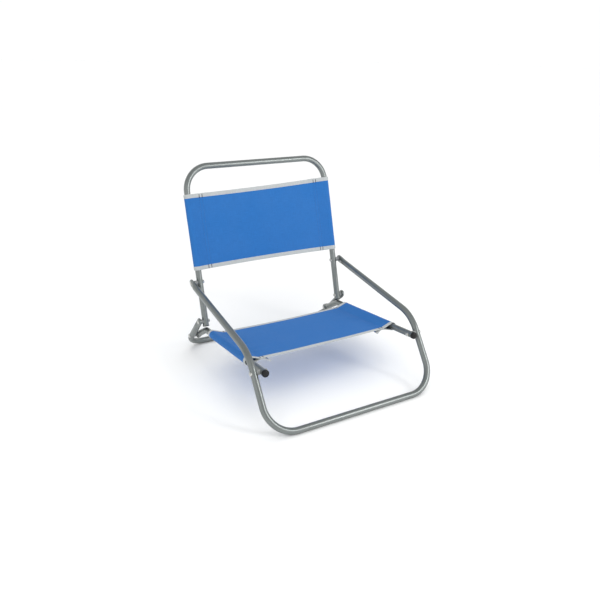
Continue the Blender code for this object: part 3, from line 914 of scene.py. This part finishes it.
def make_sheet(sling):
    """The sling's cloth, with its hems inside the bindings."""
    rows = round((sling.length - 2 * HEM_INSIDE_BINDING) / CLOTH_ROW)
    step = (sling.length - 2 * HEM_INSIDE_BINDING) / rows
    flats = [(arc, HEM_INSIDE_BINDING + step * row) for row in range(rows + 1) for arc in STATIONS]
    vertices = [sling.point(*flat) for flat in flats]
    faces = grid_faces(rows, len(STATIONS) - 1)
    piece = new_piece(sling.name + "_cloth", vertices, faces, MATERIALS["sling_fabric"])
    store_flat(piece, flats)
    smooth(piece, sharp_angle=35)
    thickness = piece.modifiers.new("thickness", "SOLIDIFY")
    thickness.thickness = CLOTH_THICKNESS
    thickness.offset = 0
    stand_for(piece, sling.name)
    return piece


def make_binding(sling, end, at_far_hem):
    """Folded tape over a hem: rounded over the edge, pinched along its stitch row."""
    half = BINDING_HALF_THICKNESS
    loop = [(v, half * share) for v, share in BINDING_OUTLINE]
    loop += [(v, -half * share) for v, share in reversed(BINDING_OUTLINE)]
    vertices = []
    flats = []
    for arc in STATIONS:
        for v, offset in loop:
            down = sling.length - v if at_far_hem else v
            point, _across, _down, outward = sling.axes(arc, down)
            vertices.append(point + outward * offset)
            flats.append((arc, v))
    faces = ring_faces(len(STATIONS), len(loop))
    node = sling.name + "_binding_" + end
    piece = new_solid(node + "_tape", vertices, faces, MATERIALS["binding_tape"])
    store_flat(piece, flats)
    smooth(piece, sharp_angle=50)
    stand_for(piece, node)
    return piece


def add_stitch(vertices, faces, middle, forward, outward, size):
    """A stitch as a small pillow that runs forward along the cloth."""
    length, width, height = size
    sideways = outward.cross(forward).normalized()
    below = outward * height * STITCH_ENDS_BELOW
    sides = STITCH_SIDES
    start = len(vertices)
    vertices.append(middle - forward * length / 2 - below)
    for place, share in STITCH_RINGS:
        for side in range(sides):
            angle = 2 * math.pi / sides * side
            offset = sideways * (math.cos(angle) * width / 2) + outward * (math.sin(angle) * height)
            vertices.append(middle + forward * length * place + offset * share)
    vertices.append(middle + forward * length / 2 - below)
    first_ring = start + 1
    last_ring = first_ring + sides * (len(STITCH_RINGS) - 1)
    for side in range(sides):
        following = (side + 1) % sides
        faces.append((start, first_ring + side, first_ring + following))
        for base in range(first_ring, last_ring, sides):
            faces.append((base + side, base + following, base + sides + following, base + sides + side))
        faces.append((last_ring + sides, last_ring + following, last_ring + side))


def finish_stitching(sling, name, vertices, faces, material, slot):
    """Piece made of all the stitches of one kind on a sling."""
    piece = new_solid(sling.name + name, vertices, faces, material)
    smooth(piece, sharp_angle=80)
    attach(piece, sling.body)
    return piece


def make_seam_stitching(sling):
    """Two rows of thread along each seam, on the sheet and under the flap, heavier across the bindings."""
    rows = ([], [])
    tacks = ([], [])
    arcs = []
    for side in (-1, 1):
        for inboard in (SEAM_FROM_EDGE, SEAM_FROM_EDGE + SEAM_ROWS_APART):
            arcs += [side * (SEAM_X - inboard), side * (FLAP_ARC + inboard)]
    count = int((sling.length - 2 * SEAM_MARGIN) / SEAM_PITCH)
    for arc in arcs:
        for index in range(count):
            v = SEAM_MARGIN + SEAM_PITCH * (index + 0.5)
            on_tape = min(v, sling.length - v) < BINDING_WIDTH
            lift = TACK_LIFT if on_tape else CLOTH_THICKNESS / 2
            size = TACK_STITCH if on_tape else SEAM_STITCH
            vertices, faces = tacks if on_tape else rows
            point, across, down, outward = sling.axes(arc, v)
            forward = (down + across * SEAM_SLANT).normalized()
            add_stitch(vertices, faces, point + outward * lift, forward, outward, size)
    return [
        finish_stitching(sling, "_seam_stitching", *rows, SEAM_THREAD, "sling_fabric"),
        finish_stitching(sling, "_tack_stitching", *tacks, TACK_THREAD, "sling_fabric"),
    ]


def make_hem_stitching(sling):
    """A row of fine thread along the inner edge of each binding, on both faces."""
    vertices = []
    faces = []
    count = int((2 * HALF_WIDTH - 2 * HEM_MARGIN) / HEM_PITCH)
    from_hem = BINDING_WIDTH - HEM_ROW_FROM_TAPE_EDGE
    for v in (from_hem, sling.length - from_hem):
        for index in range(count):
            arc = -HALF_WIDTH + HEM_MARGIN + HEM_PITCH * (index + 0.5)
            point, across, down, outward = sling.axes(arc, v)
            forward = (across + down * HEM_SLANT).normalized()
            for face in (1, -1):
                place = point + outward * (HEM_LIFT * face)
                add_stitch(vertices, faces, place, forward, outward * face, HEM_STITCH)
    return finish_stitching(sling, "_hem_stitching", vertices, faces, HEM_THREAD, "binding_tape")


def make_sling(sling):
    """A sling's sheet, bindings and stitching, held stretched by the tubes that it rests on."""
    sheet = make_sheet(sling)
    bindings = [make_binding(sling, end, far) for end, far in zip(sling.ends, (False, True))]
    stitching = make_seam_stitching(sling) + [make_hem_stitching(sling)]


# ---------------------------------------------------------------- studio


def make_floor(height):
    """Plain pale floor, far larger than the view."""
    ticks = [FLOOR_SIZE * (step / FLOOR_STEPS - 0.5) for step in range(FLOOR_STEPS + 1)]
    vertices = [(x, y, height) for y in ticks for x in ticks]
    material, tree, shader, where = start_material("pale_floor")
    clouds = add_noise(tree, where, FLOOR_CLOUD_SCALE, detail=2.0)
    tint = blend_colours(tree, clouds, *FLOOR_TINTS)
    set_shader(tree, shader, Base_Color=tint, Roughness=0.9, Specular_IOR_Level=0.1)
    floor = new_solid("studio_floor", vertices, grid_faces(FLOOR_STEPS, FLOOR_STEPS), material)


def aim_light(light, place):
    """Lamp at a place, turned to the middle of the chair."""
    lamp = bpy.data.objects.new(light.name, light)
    lamp.location = place
    lamp.rotation_euler = (LIGHT_TARGET - Vector(place)).to_track_quat("-Z", "Y").to_euler()
    bpy.context.scene.collection.objects.link(lamp)
    return lamp


def add_softbox(name, place, size, power):
    """Rectangular lamp near the chair, which draws the long highlights on the tubes."""
    light = bpy.data.lights.new(name, "AREA")
    light.shape = "RECTANGLE"
    light.size, light.size_y = size
    light.energy = power
    aim_light(light, place)


def add_sky_light(name, place, strength):
    """Even light from far away, soft because it's wide. It leaves no highlight of its own."""
    light = bpy.data.lights.new(name, "SUN")
    light.angle = math.radians(SKY_SPREAD)
    light.energy = strength
    aim_light(light, place).visible_glossy = False


def make_world():
    """White studio at eye level, darker overhead so that the tubes show long streaks."""
    world = bpy.data.worlds.new("studio")
    bpy.context.scene.world = world
    world.use_nodes = True
    tree = world.node_tree
    direction = add_node(tree, "TexCoord").outputs["Generated"]
    height = add_node(tree, "SeparateXYZ", {0: direction}).outputs["Z"]
    overhead = remap(tree, height, HORIZON_ENDS, OVERHEAD_STARTS, 0.0, 1.0)
    tint = blend_colours(tree, overhead, HORIZON, OVERHEAD)
    tree.links.new(tint, tree.nodes["Background"].inputs["Color"])


def make_camera():
    """Camera in front of the chair and a little to its side, above it and slightly rolled."""
    ahead = Vector((-math.sin(CAMERA_AZIMUTH), math.cos(CAMERA_AZIMUTH), 0))
    forward = ahead * math.cos(CAMERA_ELEVATION) - Vector((0, 0, math.sin(CAMERA_ELEVATION)))
    level = Vector((math.cos(CAMERA_AZIMUTH), math.sin(CAMERA_AZIMUTH), 0))
    upright = level.cross(forward)
    right = level * math.cos(CAMERA_ROLL) + upright * math.sin(CAMERA_ROLL)
    up = upright * math.cos(CAMERA_ROLL) - level * math.sin(CAMERA_ROLL)
    data = bpy.data.cameras.new("camera")
    data.lens = CAMERA_LENS
    data.sensor_width = CAMERA_SENSOR
    camera = bpy.data.objects.new("camera", data)
    turn = Matrix((right, up, -forward)).transposed().to_4x4()
    camera.matrix_world = Matrix.Translation(CAMERA_TARGET - forward * CAMERA_DISTANCE) @ turn
    bpy.context.scene.collection.objects.link(camera)
    bpy.context.scene.camera = camera


def make_studio(floor_height):
    make_floor(floor_height)
    make_world()
    make_camera()
    add_sky_light("front_light", place=(-1.1, -1.7, 3.6), strength=0.9)
    add_sky_light("rear_light", place=(1.3, 1.9, 3.6), strength=0.5)
    add_softbox("key_softbox", place=(1.3, -2.1, 1.35), size=(0.55, 1.1), power=19)
    add_softbox("fill_softbox", place=(-2.0, -1.2, 1.3), size=(1.0, 1.8), power=3)
    bpy.context.scene.view_settings.view_transform = "Standard"


make_tubes()
make_hardware()
seat_sling = Sling(
    name="seat_sling",
    body="seat",
    ends=("front", "rear"),
    origin=SEAT_PIVOT + RAIL_DIRECTION * SEAT_START,
    direction=RAIL_DIRECTION,
    length=SEAT_LENGTH,
    sag=0.003,
    droop=0.010,
    skew=0.007,
    slip=(0, 0),
    seed=1.7,
)
back_sling = Sling(
    name="back_sling",
    body="back",
    ends=("bottom", "top"),
    origin=HINGE_PIVOT + BACK_DIRECTION * BACK_SLING_START,
    direction=BACK_DIRECTION,
    length=BACK_SLING_LENGTH,
    sag=0.002,
    droop=0.004,
    skew=0,
    slip=(-0.002, 0.007),
    seed=23.1,
)
make_sling(seat_sling)
make_sling(back_sling)
make_studio(TUBE_APOTHEM - TUBE_RADIUS)
